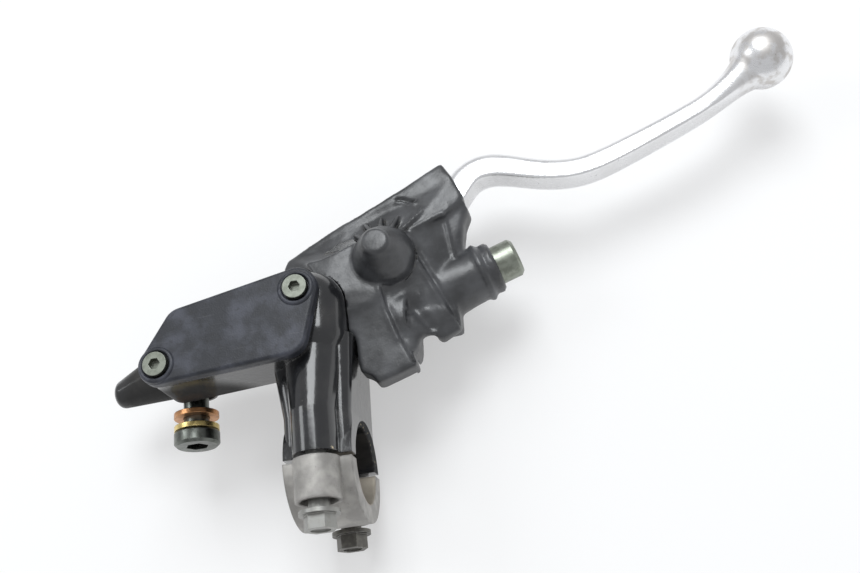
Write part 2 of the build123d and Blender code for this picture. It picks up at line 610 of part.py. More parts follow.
def joined_outline(outlines, shrink=0.0):
    """One flat outline round several overlapping ones, pulled in by the wall's thickness."""
    with BuildSketch() as joined:
        for points in outlines:
            with BuildLine():
                Polyline(*points, close=True)
            make_face()
        if shrink:
            offset(amount=-shrink, kind=Kind.ARC, mode=Mode.REPLACE)
    return joined.sketch


with BuildPart() as lever_boot:
    for outline, base, top in COVER_BLOCKS.values():
        with BuildSketch(Plane.XY.offset(base)):
            add(joined_outline([outline]))
        extrude(amount=top - base)
    bar(CYLINDER_PLANE, CYL_OUTER_R + 2.0, CLIP_X, 28.0)
    with BuildSketch(PIVOT_SECTION):
        add(turned_profile([(BUMP_BASE, BUMP_BASE_R), (BUMP_TOP, BUMP_TOP_R)]))
    revolve(axis=PIVOT_AXIS)
    with BuildSketch(ROD_SECTION):
        add(turned_profile([
            (-4.0, NOSE_BASE_R), (NOSE_TIP, NOSE_TIP_R), (NOSE_TIP, LIP_R), (LIP_END, LIP_R),
        ]))
    revolve(axis=ROD_AXIS)
    # Hollow inside, with a mouth for the lever and one for the adjuster
    for names in COVER_HOLLOWS:
        blocks = [COVER_BLOCKS[name] for name in names]
        base = max(block[1] for block in blocks) + COVER_WALL
        top = min(block[2] for block in blocks) - COVER_WALL
        with BuildSketch(Plane.XY.offset(base)):
            add(joined_outline([block[0] for block in blocks], COVER_WALL))
        extrude(amount=top - base, mode=Mode.SUBTRACT)
    with BuildSketch(PIVOT_SECTION):
        add(turned_profile([
            (BUMP_BASE - 2, BUMP_BASE_R - 0.6), (BUMP_TOP - COVER_WALL, BUMP_TOP_R - 0.8),
        ]))
    revolve(axis=PIVOT_AXIS, mode=Mode.SUBTRACT)
    with BuildSketch(ROD_SECTION):
        add(turned_profile([(-2, 7.6), (18, 7.2), (LIP_END, KNOB_R + 0.3)]))
    revolve(axis=ROD_AXIS, mode=Mode.SUBTRACT)
    with BuildSketch(Plane.XY.offset(CYL_Z - BLADE_HALF_HEIGHT - 0.6)):
        add(joined_outline([LEVER_DOOR]))
    extrude(amount=2 * BLADE_HALF_HEIGHT + 1.2, mode=Mode.SUBTRACT)
    # Mouth that grips the casting, and a hole under the pivot bolt
    with BuildSketch(Plane.XY.offset(EAR_BASES[1] - 0.2)):
        add(hull_outline(SHOULDER_CORNERS, 0.2))
        add(hull_outline(EAR_OUTLINE, 0.2))
    extrude(amount=EAR_TOP - EAR_BASES[1] + 0.4, mode=Mode.SUBTRACT)
    with BuildSketch(Plane.XY.offset(COVER_BASE - 1)):
        add(hull_outline(SHOULDER_CORNERS, 0.2))
    extrude(amount=COVER_TOP - COVER_BASE + 2, mode=Mode.SUBTRACT)
    bar(CYLINDER_PLANE, CYL_OUTER_R + 0.2, 0, 27.0, Mode.SUBTRACT)
    bar(PIVOT_PLANE, BOLT_ACCESS_R, COVER_BASE - 1, COVER_BASE + 4, Mode.SUBTRACT)
finish(lever_boot, "lever_boot")
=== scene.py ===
"""Front brake master cylinder of an off-road motorcycle: the finished visible model.

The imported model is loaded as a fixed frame. The rubber cover and the forged lever are modelled
here in mesh code, small cast and turned details are added, and every piece gets a finish made of
shader nodes. Sizes are in millimetres and become metres where a mesh is finished.
"""

import logging
import math
from dataclasses import dataclass, field
from enum import Enum

import bmesh
import bpy
from mathutils import Matrix, Vector, noise

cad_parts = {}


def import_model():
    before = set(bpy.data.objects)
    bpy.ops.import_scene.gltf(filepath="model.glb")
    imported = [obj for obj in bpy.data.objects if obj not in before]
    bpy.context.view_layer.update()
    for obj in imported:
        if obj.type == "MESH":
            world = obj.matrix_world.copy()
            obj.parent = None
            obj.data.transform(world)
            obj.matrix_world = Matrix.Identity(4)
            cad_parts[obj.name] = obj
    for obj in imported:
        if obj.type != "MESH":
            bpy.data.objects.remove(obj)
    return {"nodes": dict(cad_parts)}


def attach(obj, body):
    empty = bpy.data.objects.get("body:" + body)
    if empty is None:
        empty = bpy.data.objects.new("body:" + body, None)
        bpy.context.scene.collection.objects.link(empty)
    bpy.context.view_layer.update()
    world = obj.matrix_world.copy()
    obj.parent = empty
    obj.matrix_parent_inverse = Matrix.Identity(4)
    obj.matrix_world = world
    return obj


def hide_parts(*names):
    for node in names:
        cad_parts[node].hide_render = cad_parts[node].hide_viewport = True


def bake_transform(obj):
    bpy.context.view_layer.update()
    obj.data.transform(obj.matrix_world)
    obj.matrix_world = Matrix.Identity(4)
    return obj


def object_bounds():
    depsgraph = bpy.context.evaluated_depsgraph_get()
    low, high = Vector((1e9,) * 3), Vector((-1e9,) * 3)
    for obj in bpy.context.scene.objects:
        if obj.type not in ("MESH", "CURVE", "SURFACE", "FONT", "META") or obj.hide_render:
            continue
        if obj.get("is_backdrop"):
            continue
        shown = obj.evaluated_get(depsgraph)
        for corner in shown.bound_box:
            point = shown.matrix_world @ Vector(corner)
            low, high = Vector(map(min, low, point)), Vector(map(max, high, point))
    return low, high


LOG = logging.getLogger("master_cylinder")
MM = 0.001
MIDDLE_Z = -3.0  # height of the middle of the cylinder, the adjuster and the lever
PIVOT = (22.9, 58.5)  # the lever's pivot, in plan
BALL_CENTRE = (144.7, 109.0, MIDDLE_Z)
ROD_END = (27.086, 46.853, MIDDLE_Z)  # the push rod's outer ball, on the adjuster's axis
ROD_ANGLE = math.radians(17.3)
ROD_DIRECTION = (math.cos(ROD_ANGLE), math.sin(ROD_ANGLE), 0.0)
UP = (0, 0, 1)


class Body(Enum):
    """Rigid bodies of the mechanism that new pieces ride."""

    CASTING = "casting"
    LEVER = "lever_group"


# ---------------------------------------------------------------- shader maths
class Board:
    """Node tree of one material, with one method that adds any node."""

    def __init__(self, name: str) -> None:
        """Start an empty material.

        Args:
            name: name of the material.
        """
        self.material = bpy.data.materials.new(name)
        self.material.use_nodes = True
        self.tree = self.material.node_tree
        self.tree.nodes.clear()

    def node(self, kind: str, settings: dict | None = None,
             sockets: dict | None = None) -> bpy.types.Node:
        """Add a node.

        Args:
            kind: type of the node, without its ShaderNode prefix.
            settings: attributes of the node, set first.
            sockets: values or wires of its inputs, by name or number.

        Returns:
            The new node.
        """
        made = self.tree.nodes.new("ShaderNode" + kind)
        for key, value in (settings or {}).items():
            setattr(made, key, value)
        for key, value in (sockets or {}).items():
            self._plug(made.inputs[key], value)
        return made

    def _plug(self, socket: bpy.types.NodeSocket, value: "Wire | tuple | float") -> None:
        """Link a wire to a socket, or set its value.

        Args:
            socket: input that is fed.
            value: the wire, number, vector or colour that feeds it.
        """
        if isinstance(value, Wire):
            self.tree.links.new(value.socket, socket)
        elif isinstance(value, tuple) and socket.type == "RGBA" and len(value) == 3:
            socket.default_value = (*value, 1.0)
        else:
            socket.default_value = value

    def wire(self, kind: str, settings: dict | None = None, sockets: dict | None = None,
             output: str | int = 0) -> "Wire":
        """Add a node and take one of its outputs, with the Args of node()."""
        return Wire(self, self.node(kind, settings, sockets).outputs[output])

    def place(self) -> "Wire":
        """Position on the piece, in millimetres."""
        object_place = self.wire("TexCoord", output="Object")
        return self.wire("VectorMath", {"operation": "SCALE"},
                         {0: object_place, "Scale": 1 / MM})

    def axis(self, place: "Wire", direction: tuple, centre: tuple = (0, 0, 0)) -> "Wire":
        """Distance from a centre along a direction.

        Args:
            place: position in millimetres.
            direction: direction, of length 1.
            centre: place where the distance is 0.

        Returns:
            The distance in millimetres.
        """
        moved = self.wire("VectorMath", {"operation": "SUBTRACT"}, {0: place, 1: centre})
        return self.wire("VectorMath", {"operation": "DOT_PRODUCT"},
                         {0: moved, 1: direction}, "Value")

    def distance(self, place: "Wire", centre: tuple, keep: tuple = (1, 1, 1)) -> "Wire":
        """Distance from a centre.

        Args:
            place: position in millimetres.
            centre: place where the distance is 0.
            keep: 1 for each axis that counts, and 0 for each that doesn't.

        Returns:
            The distance in millimetres.
        """
        moved = self.wire("VectorMath", {"operation": "SUBTRACT"}, {0: place, 1: centre})
        flat = self.wire("VectorMath", {"operation": "MULTIPLY"}, {0: moved, 1: keep})
        return self.wire("VectorMath", {"operation": "LENGTH"}, {0: flat}, "Value")

    def cloud(self, place: "Wire", size: float, detail: float = 3.0,
              stretch: tuple = (1, 1, 1), turn: float = 0.0) -> "Wire":
        """Soft noise from 0 to 1.

        Args:
            place: position in millimetres.
            size: size of its patches, in millimetres.
            detail: number of finer layers.
            stretch: scale along each axis, where a small one draws the patches out.
            turn: angle about Z by which the pattern is turned first, in degrees.

        Returns:
            The noise.
        """
        mapped = self.wire("Mapping", {"vector_type": "POINT"},
                           {"Vector": place, "Rotation": (0, 0, math.radians(turn)),
                            "Scale": stretch})
        return self.wire("TexNoise", None,
                         {"Vector": mapped, "Scale": 1 / size, "Detail": detail})

    def specks(self, place: "Wire", size: float, share: float) -> "Wire":
        """Mask of small round specks, about size apart, each share of that wide."""
        near = self.wire("TexVoronoi", None, {"Vector": place, "Scale": 1 / size})
        return 1 - near.step(share * 0.6, share)

    def edges(self, radius: float) -> "Wire":
        """Mask that is 0 on flat faces and rises along edges.

        Args:
            radius: width of the edges, in millimetres.

        Returns:
            The mask, from 0 to 1.
        """
        flat = self.wire("NewGeometry", output="Normal")
        match = self.wire("VectorMath", {"operation": "DOT_PRODUCT"},
                          {0: self.rounded(radius), 1: flat}, "Value")
        return (1 - match).step(0.01, 0.25)

    def rounded(self, radius: float) -> "Wire":
        """Normal of edges rounded by a radius in millimetres."""
        return self.wire("Bevel", {"samples": 6}, {"Radius": radius * MM})

    def blend(self, factor: "Wire | float", low: "Wire | tuple", high: "Wire | tuple") -> "Wire":
        """Mix two colours, the first where the factor is 0 and the second where it is 1."""
        return self.wire("Mix", {"data_type": "RGBA"}, {0: factor, 6: low, 7: high}, 2)

    def relief(self, height: "Wire", depth: float, rounding: float = 0.0) -> "Wire":
        """Normal of a relief.

        Args:
            height: height from 0 to 1.
            depth: height of 1 in millimetres.
            rounding: radius that edges are rounded by, in millimetres.

        Returns:
            The normal.
        """
        sockets = {"Height": height, "Distance": depth * MM, "Strength": 1.0}
        if rounding:
            sockets["Normal"] = self.rounded(rounding)
        return self.wire("Bump", None, sockets)

    def surface(self, **sockets: "Wire | tuple | float") -> bpy.types.Material:
        """Close the tree with one Principled shader.

        Args:
            **sockets: its inputs, with underscores for spaces.

        Returns:
            The finished material.
        """
        names = {key.replace("_", " "): value for key, value in sockets.items()}
        shader = self.wire("BsdfPrincipled", None, names)
        self.node("OutputMaterial", None, {"Surface": shader})
        return self.material


@dataclass(frozen=True)
class Wire:
    """An output socket that Python's operators work on."""

    board: Board
    socket: bpy.types.NodeSocket

    def _math(self, operation: str, first: "Wire | float", second: "Wire | float") -> "Wire":
        """Add a Math node of two values."""
        return self.board.wire("Math", {"operation": operation}, {0: first, 1: second})

    def __add__(self, other: "Wire | float") -> "Wire":
        """Sum."""
        return self._math("ADD", self, other)

    def __radd__(self, other: "Wire | float") -> "Wire":
        """Sum, from the right."""
        return self._math("ADD", other, self)

    def __sub__(self, other: "Wire | float") -> "Wire":
        """Difference."""
        return self._math("SUBTRACT", self, other)

    def __rsub__(self, other: "Wire | float") -> "Wire":
        """Difference, from the right."""
        return self._math("SUBTRACT", other, self)

    def __mul__(self, other: "Wire | float") -> "Wire":
        """Product."""
        return self._math("MULTIPLY", self, other)

    def __rmul__(self, other: "Wire | float") -> "Wire":
        """Product, from the right."""
        return self._math("MULTIPLY", other, self)

    def highest(self, other: "Wire | float") -> "Wire":
        """The larger of two."""
        return self._math("MAXIMUM", self, other)

    def size(self) -> "Wire":
        """The value without its sign."""
        return self._math("ABSOLUTE", self, 0.0)

    def step(self, low: float, high: float) -> "Wire":
        """Smooth rise from 0 at low to 1 at high."""
        return self.board.wire("MapRange", {"interpolation_type": "SMOOTHSTEP"},
                               {"Value": self, "From Min": low, "From Max": high})

    def within(self, limit: float, fade: float) -> "Wire":
        """Mask that is 1 well below a limit and fades to 0 over the last stretch before it."""
        return 1 - self.step(limit - fade, limit)

    def spread(self, low: float, high: float) -> "Wire":
        """Straight change from low where this is 0 to high where it is 1."""
        return self.board.wire("MapRange", None,
                               {"Value": self, "To Min": low, "To Max": high})


# ---------------------------------------------------------------- finishes
@dataclass(frozen=True)
class GlossBlackPaint:
    """Thick black paint on the casting, with bare machined faces, chips, dust and a painted
    reflection beside the hose boss.
    """

    colour: tuple = (0.009, 0.0095, 0.011)
    dust: tuple = (0.16, 0.15, 0.135)
    bare: tuple = (0.50, 0.48, 0.44)
    machined: tuple = (0.46, 0.46, 0.45)
    primer: tuple = (0.62, 0.52, 0.32)
    arch_centre: tuple = (0, 0, MIDDLE_Z)
    arch_radius: float = 13.6
    arch_half_width: float = 9.7
    boss_centre: tuple = (-41.6, 30.0, MIDDLE_Z)
    boss_radius: float = 6.5
    ring_width: float = 0.8
    # area round the hose boss where the coat is dulled and the colour carries a painted
    # reflection
    dull_radius: float = 27.0
    dull_fade: float = 8.0
    chip_centre: tuple = (6.3, 1.0, 20.5)
    chip_radius: float = 1.6

    def material(self) -> bpy.types.Material:
        """Build the paint.

        Returns:
            The material.
        """
        board = Board("gloss_black_paint")
        place = board.place()
        half = self.arch_half_width
        matte = board.axis(place, (1, 0, 0)).size().step(half - 0.05, half + 0.05)
        matte = matte * board.distance(place, self.arch_centre, (0, 1, 1)).within(
            self.arch_radius, 0.3)
        wear = board.edges(0.7) * board.cloud(place, 2.2, 5).step(0.52, 0.68)
        boss = board.distance(place, self.boss_centre)
        depth = board.axis(place, (0, 1, 0), self.boss_centre).size()
        face = boss.within(self.boss_radius, 0.2) * depth.within(0.15, 0.1)
        ring = self.boss_radius - self.ring_width
        machined = face * boss.step(ring, ring + 0.2)
        dull = boss.within(self.dull_radius, self.dull_fade)
        ragged = board.distance(place, self.chip_centre) + board.cloud(place, 0.8) * 1.2
        chip = ragged.within(self.chip_radius, 0.3)
        haze = board.cloud(place, 9, 6).step(0.45, 0.75)
        grit = board.specks(place, 1.3, 0.16) * board.cloud(place, 4).step(0.5, 0.7)
        fleck = board.specks(place, 1.7, 0.2) * matte
        colour = board.blend(haze * 0.10, self.colour, self.dust)
        colour = board.blend(grit * (0.25 + matte * 0.6), colour, self.dust)
        # round the hose boss the colour is lifted towards the dust tint: partly dust, partly a
        # painted brownish reflection on the wall beside the hose bolt
        colour = board.blend(dull * haze.spread(0.12, 0.24), colour, self.dust)
        colour = board.blend(wear * 0.35, colour, self.bare)
        colour = board.blend(chip, colour, self.primer)
        colour = board.blend(fleck * 0.8, colour, self.primer)
        colour = board.blend(machined, colour, self.machined)
        rough = board.cloud(place, 5, 5).spread(0.12, 0.32) + matte * 0.55 + haze * 0.05
        rough = rough + wear * 0.25 + face * 0.5 + dull * 0.6
        peel = board.cloud(place, 1.6, 2) + board.cloud(place, 0.35, 2) * 0.12
        gloss = (1 - matte * 0.95) * (1 - face) * (1 - dull * 0.85)
        return board.surface(
            Base_Color=colour, Roughness=rough, Metallic=machined * 0.4,
            Specular_IOR_Level=0.25, Coat_Weight=gloss, Coat_Roughness=0.13,
            Normal=board.relief(peel, 0.10, 0.9))


@dataclass(frozen=True)
class SatinCapPaint:
    """Worn blue-black paint of the reservoir cap, mottled by fluid and handling."""

    name: str = "satin_cap_paint"
    colour: tuple = (0.016, 0.018, 0.024)
    faded: tuple = (0.052, 0.056, 0.073)
    rough: float = 0.40
    stained: tuple = (0.011, 0.011, 0.014)
    scuffed: tuple = (0.16, 0.16, 0.17)
    rubbed: tuple = (0.15, 0.15, 0.17)

    def material(self) -> bpy.types.Material:
        """Build the paint.

        Returns:
            The material.
        """
        board = Board(self.name)
        place = board.place()
        mottle = board.cloud(place, 7, 8).step(0.38, 0.66)
        stain = board.cloud(place, 1.5, 8).step(0.56, 0.70)
        scuff = board.cloud(place, 1.2, 4, (0.12, 1.6, 1), 32).step(0.62, 0.74)
        rim = board.edges(0.8)
        colour = board.blend(mottle, self.colour, self.faded)
        colour = board.blend(stain * 0.5, colour, self.stained)
        colour = board.blend(scuff * 0.12, colour, self.scuffed)
        colour = board.blend(rim * 0.20, colour, self.rubbed)
        rough = board.cloud(place, 3, 5).spread(self.rough - 0.1, self.rough + 0.14)
        grain = board.cloud(place, 0.5, 3) * 0.5 + board.cloud(place, 4, 4)
        return board.surface(
            Base_Color=colour, Roughness=rough, Specular_IOR_Level=0.45,
            Normal=board.relief(grain, 0.07, 0.7))


@dataclass(frozen=True)
class CastAlloy:
    """Bead-blasted cast aluminium with rubbed edges and a stained bore."""

    colour: tuple = (0.44, 0.425, 0.40)
    shade: tuple = (0.29, 0.28, 0.265)
    stain: tuple = (0.46, 0.40, 0.31)
    pitted: tuple = (0.16, 0.15, 0.13)
    rubbed: tuple = (0.72, 0.71, 0.69)
    bore_radius: float = 11.4

    def material(self) -> bpy.types.Material:
        """Build the metal.

        Returns:
            The material.
        """
        board = Board("cast_alloy")
        place = board.place()
        patch = board.cloud(place, 5, 6).step(0.35, 0.7)
        pits = board.specks(place, 0.7, 0.3) * board.cloud(place, 3).step(0.48, 0.7)
        bore = board.distance(place, (0, 0, 0), (0, 1, 1)).within(self.bore_radius, 0.2)
        rub = board.edges(0.6) * board.cloud(place, 1.5, 4).step(0.4, 0.6)
        colour = board.blend(patch, self.shade, self.colour)
        colour = board.blend(pits * 0.4, colour, self.pitted)
        colour = board.blend(bore * 0.6, colour, self.stain)
        colour = board.blend(rub * 0.5, colour, self.rubbed)
        rough = board.cloud(place, 1, 4).spread(0.42, 0.62) - rub * 0.12
        grain = board.cloud(place, 0.35, 4)
        return board.surface(
            Base_Color=colour, Roughness=rough, Metallic=0.45,
            Normal=board.relief(grain, 0.06, 1.3))


@dataclass(frozen=True)
class ForgedLeverAlloy:
    """Polished forging: bright and brushed along the blade, nicked on its edges, with painted
    reflection patches on the end ball.
    """

    colour: tuple = (0.86, 0.86, 0.87)
    drawn: tuple = (0.66, 0.66, 0.67)
    hazed: tuple = (0.70, 0.69, 0.67)
    scratch: tuple = (0.42, 0.42, 0.43)
    # colour of the painted reflection: dark, brownish patches laid on the end ball
    tarnish: tuple = (0.46, 0.42, 0.38)

    def material(self) -> bpy.types.Material:
        """Build the metal.

        Returns:
            The material.
        """
        board = Board("forged_lever_alloy")
        place = board.place()
        brushed = board.cloud(place, 0.5, 4, (0.03, 1.2, 1.6), -14)
        haze = board.cloud(place, 8, 6).step(0.4, 0.7)
        nick = board.specks(place, 2.2, 0.12) * board.cloud(place, 6).step(0.5, 0.62)
        edge = board.edges(0.5) * board.cloud(place, 1.4, 5).step(0.46, 0.6)
        # near the end ball, patches are painted darker and browner as a painted reflection
        end = board.distance(place, BALL_CENTRE).within(16.0, 7.0)
        painted_reflection_blotch = end * board.cloud(place, 4, 6).step(0.44, 0.60)
        colour = board.blend(brushed.step(0.35, 0.8) * 0.35, self.colour, self.drawn)
        colour = board.blend(haze * 0.18, colour, self.hazed)
        colour = board.blend(nick.highest(edge * 0.6), colour, self.scratch)
        colour = board.blend(painted_reflection_blotch * 0.55, colour, self.tarnish)
        rough = brushed.spread(0.16, 0.36) + haze * 0.08 + nick * 0.2 + painted_reflection_blotch * 0.12
        return board.surface(
            Base_Color=colour, Roughness=rough, Metallic=1.0,
            Normal=board.relief(brushed + nick * -0.5, 0.025, 0.35))


@dataclass(frozen=True)
class Plating:
    """Plated or turned metal with patches of tarnish and bright rubbed edges."""

    name: str
    colour: tuple
    tarnish: tuple
    rubbed: tuple
    rough: float = 0.35
    turned: float = 0.6
    metallic: float = 1.0
    wear: float = 0.6

    def material(self) -> bpy.types.Material:
        """Build the metal.

        Returns:
            The material.
        """
        board = Board(self.name)
        place = board.place()
        patch = board.cloud(place, 1.8, 6).step(0.42, 0.68)
        fine = board.cloud(place, 0.25, 3, (1, 1, 0.15))
        rub = board.edges(0.35) * board.cloud(place, 0.9, 4).step(0.38, 0.58)
        colour = board.blend(patch * self.turned, self.colour, self.tarnish)
        colour = board.blend(rub * self.wear, colour, self.rubbed)
        rough = board.cloud(place, 0.8, 4).spread(self.rough - 0.08, self.rough + 0.14)
        return board.surface(
            Base_Color=colour, Roughness=rough, Metallic=self.metallic,
            Normal=board.relief(fine, 0.02, 0.25))


@dataclass(frozen=True)
class ClampBoltPlating:
    """The bolt above the bar's axis is coloured bright zinc, and the one below it darker."""

    bright: tuple = (0.33, 0.33, 0.315)
    dull: tuple = (0.13, 0.125, 0.115)
    stained: tuple = (0.26, 0.25, 0.22)
    rubbed: tuple = (0.70, 0.69, 0.66)

    def material(self) -> bpy.types.Material:
        """Build the metal.

        Returns:
            The material.
        """
        board = Board("clamp_bolt_plating")
        place = board.place()
        # the colour changes with height: the bolt below the bar's axis is made darker
        upper = board.axis(place, UP).step(-1, 1)
        patch = board.cloud(place, 1.4, 6).step(0.4, 0.7)
        rub = board.edges(0.35) * board.cloud(place, 0.8, 4).step(0.38, 0.58)
        colour = board.blend(upper, self.dull, self.bright)
        colour = board.blend(patch * 0.35, colour, self.stained)
        colour = board.blend(rub * 0.5, colour, self.rubbed)
        rough = board.cloud(place, 0.7, 4).spread(0.32, 0.55)
        return board.surface(
            Base_Color=colour, Roughness=rough, Metallic=0.95,
            Normal=board.relief(board.cloud(place, 0.3, 3), 0.03, 0.3))


@dataclass(frozen=True)
class DustyRubber:
    """Old moulded rubber with a dry bloom, dust in its folds and fine pores."""

    name: str = "dusty_rubber"
    colour: tuple = (0.024, 0.025, 0.027)
    bloom: tuple = (0.094, 0.097, 0.104)
    dust: tuple = (0.17, 0.16, 0.135)
    crease: float = 1.0

    def material(self) -> bpy.types.Material:
        """Build the rubber.

        Returns:
            The material.
        """
        board = Board(self.name)
        place = board.place()
        bloom = board.cloud(place, 9, 6).step(0.36, 0.72)
        smear = board.cloud(place, 3, 5, (0.35, 1, 1), 25).step(0.5, 0.75)
        pores = board.specks(place, 0.55, 0.25)
        fold = board.edges(self.crease) * board.cloud(place, 2.0, 4).step(0.42, 0.62)
        colour = board.blend(bloom * 0.55, self.colour, self.bloom)
        colour = board.blend(smear * 0.30, colour, self.bloom)
        colour = board.blend(fold * 0.45, colour, self.dust)
        rough = board.cloud(place, 2.2, 5).spread(0.25, 0.43) + smear * 0.05
        skin = board.cloud(place, 0.7, 4) + board.cloud(place, 5, 3) * 1.5 - pores * 0.4
        return board.surface(
            Base_Color=colour, Roughness=rough, Specular_IOR_Level=0.75,
            Normal=board.relief(skin, 0.035))


# ---------------------------------------------------------------- mesh tools
class Workshop:
    """Mesh-making steps that several pieces share."""

    @staticmethod
    def slab(mesh: bmesh.types.BMesh, outline: list, base: float) -> None:
        """Add a closed block with a flat base and a height for each corner.

        Args:
            mesh: mesh that the block is added to.
            outline: (x, y, top) of each corner, in order.
            base: height of its underside.
        """
        corners = [mesh.verts.new((x, y, base)) for x, y, _ in outline]
        floor = mesh.faces.new(corners)
        raised = bmesh.ops.extrude_face_region(mesh, geom=[floor], use_keep_orig=True)
        for vert in (g for g in raised["geom"] if isinstance(g, bmesh.types.BMVert)):
            near = min(outline, key=lambda c: (c[0] - vert.co.x) ** 2 + (c[1] - vert.co.y) ** 2)
            vert.co.z = near[2]

    @staticmethod
    def turned(mesh: bmesh.types.BMesh, profile: list | tuple, origin: tuple, axis: tuple,
               steps: int = 48) -> None:
        """Add a piece turned on a lathe.

        Args:
            mesh: mesh that the piece is added to.
            profile: (distance along the axis, radius) of each corner. A radius of 0 closes it.
            origin: point on the axis where the distance is 0.
            axis: direction of the axis.
            steps: number of faces round it.
        """
        direction = Vector(axis).normalized()
        side = direction.orthogonal().normalized()
        origin = Vector(origin)
        verts = [mesh.verts.new(origin + direction * s + side * r) for s, r in profile]
        edges = [mesh.edges.new(pair) for pair in zip(verts, verts[1:])]
        if profile[0][1] and profile[-1][1]:
            edges.append(mesh.edges.new((verts[-1], verts[0])))
        bmesh.ops.spin(mesh, geom=verts + edges, cent=origin, axis=direction, angle=math.tau,
                       steps=steps, use_merge=True, use_duplicate=False)
        bmesh.ops.remove_doubles(mesh, verts=mesh.verts, dist=1e-4)

    @staticmethod
    def finish(mesh: bmesh.types.BMesh, name: str, smooth: bool = True) -> bpy.types.Object:
        """Turn a mesh in millimetres into an object in metres.

        Args:
            mesh: the finished mesh, which is freed.
            name: name of the object.
            smooth: whether its faces are shaded smooth.

        Returns:
            The object, at the origin.
        """
        bmesh.ops.recalc_face_normals(mesh, faces=mesh.faces)
        bmesh.ops.scale(mesh, vec=(MM, MM, MM), verts=mesh.verts)
        data = bpy.data.meshes.new(name)
        mesh.to_mesh(data)
        mesh.free()
        data.polygons.foreach_set("use_smooth", [smooth] * len(data.polygons))
        piece = bpy.data.objects.new(name, data)
        bpy.context.scene.collection.objects.link(piece)
        return piece

    @staticmethod
    def settle(piece: bpy.types.Object) -> None:
        """Apply every modifier of a piece to its mesh.

        Args:
            piece: object whose modifiers are applied.
        """
        graph = bpy.context.evaluated_depsgraph_get()
        graph.update()
        data = bpy.data.meshes.new_from_object(piece.evaluated_get(graph))
        piece.modifiers.clear()
        piece.data = data

    @classmethod
    def remesh(cls, piece: bpy.types.Object, voxel: float, rounds: int,
               factor: float = 0.5) -> None:
        """Join overlapping shells into one skin and relax it.

        Args:
            piece: object that is remeshed.
            voxel: size of a face in millimetres.
            rounds: number of smoothing rounds.
            factor: strength of each round.
        """
        skin = piece.modifiers.new("skin", "REMESH")
        skin.mode = "VOXEL"
        skin.voxel_size = voxel * MM
        skin.use_smooth_shade = True
        if rounds:
            relax = piece.modifiers.new("relax", "SMOOTH")
            relax.iterations = rounds
            relax.factor = factor
        cls.settle(piece)

    @classmethod
    def cut(cls, piece: bpy.types.Object, cutters: list) -> None:
        """Take the cutters out of a piece and remove them.

        Args:
            piece: object that is cut.
            cutters: closed objects that leave their shape in it.
        """
        for cutter in cutters:
            step = piece.modifiers.new("cut", "BOOLEAN")
            step.operation = "DIFFERENCE"
            step.solver = "MANIFOLD"
            step.object = cutter
        cls.settle(piece)
        for cutter in cutters:
            bpy.data.objects.remove(cutter)

    @staticmethod
    def join(piece: bpy.types.Object, other: bpy.types.Object) -> None:
        """Copy another object's mesh into a piece and remove that object.

        Args:
            piece: object that gains the mesh.
            other: object that is used up.
        """
        mesh = bmesh.new()
        mesh.from_mesh(piece.data)
        mesh.from_mesh(other.data)
        mesh.to_mesh(piece.data)
        mesh.free()
        bpy.data.objects.remove(other)

    @staticmethod
    def dress(piece: bpy.types.Object, material: bpy.types.Material) -> None:
        """Give a piece its only finish."""
        piece.data.materials.clear()
        piece.data.materials.append(material)


# ---------------------------------------------------------------- rubber cover
@dataclass
class Groove:
    """A line on the cover's top that is pressed in, or raised where the depth is negative."""

    line: list
    width: float
    depth: float


